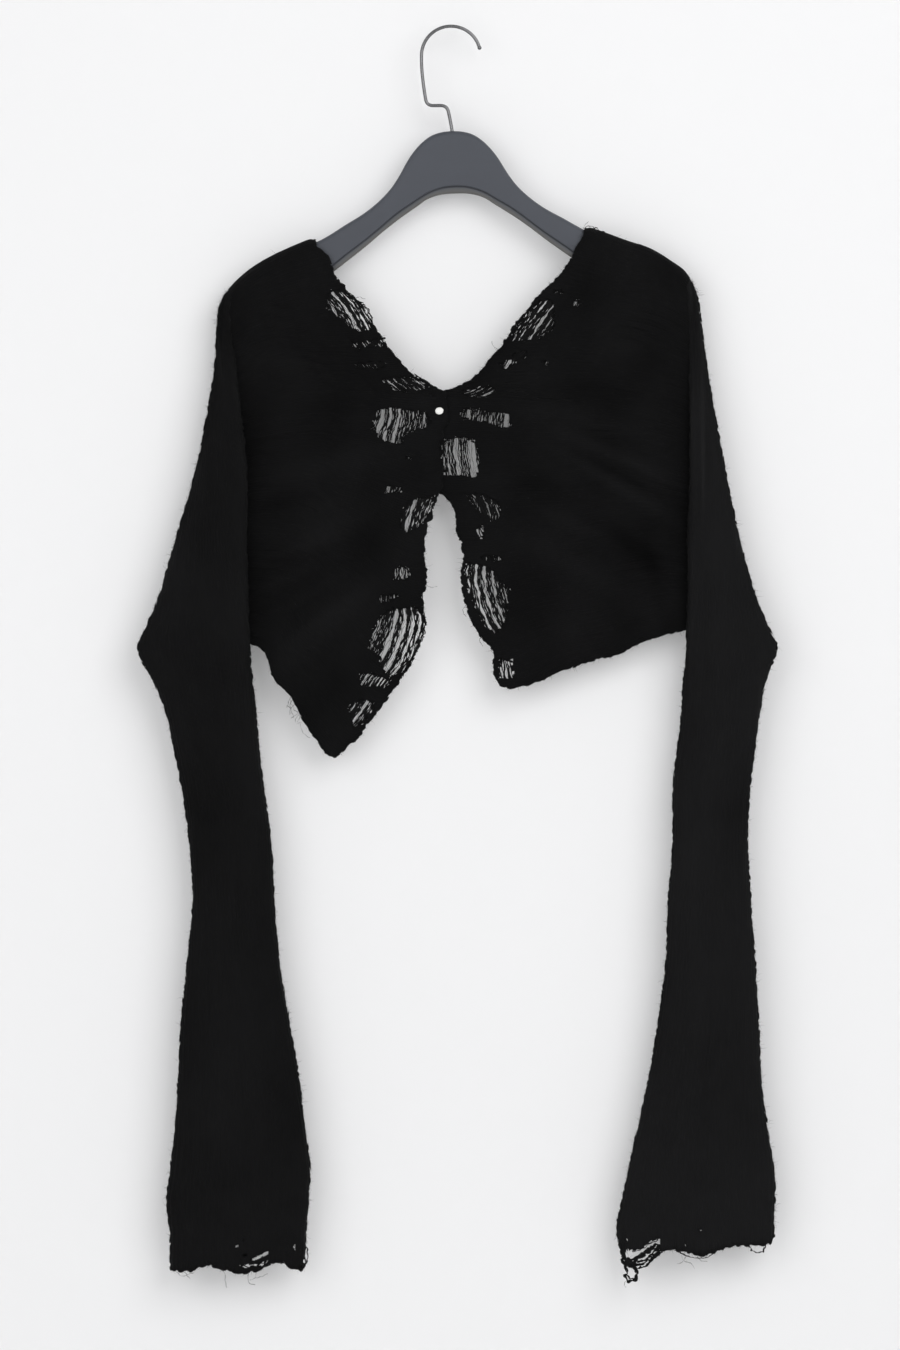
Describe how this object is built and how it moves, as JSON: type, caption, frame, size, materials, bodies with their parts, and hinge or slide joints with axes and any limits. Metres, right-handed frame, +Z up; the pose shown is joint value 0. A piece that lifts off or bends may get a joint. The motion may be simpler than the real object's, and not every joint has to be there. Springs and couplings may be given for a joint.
{
  "type": "cropped cardigan on a hanger",
  "caption": "Cropped, distressed knit cardigan with a deep V neck, one button and long flared sleeves, hanging on a plastic hanger with a wire hook.",
  "frame": {"origin": "top of the inside of the hanger's hook, where a rail or a nail carries it", "axes": "+Z up, +X to the right as seen from the front, and the front of the cardigan faces -Y"},
  "size_m": [0.575, 0.0306, 1.122],
  "materials": {
    "knit": "black brushed mohair knit, fine gauge, soft fuzz and dropped stitches along the edges",
    "button": "glossy white, slightly domed",
    "hanger": "matte dark grey moulded plastic",
    "steel": "bright drawn steel wire"
  },
  "bodies": {
    "root": {"front_left": "knit", "front_right": "knit", "back_left": "knit", "back_right": "knit", "shoulder_left": "knit", "shoulder_right": "knit", "sleeve_left": "knit", "sleeve_right": "knit", "button": "button", "hanger": "hanger", "hanger_hook": "steel"}
  },
  "joints": []
}
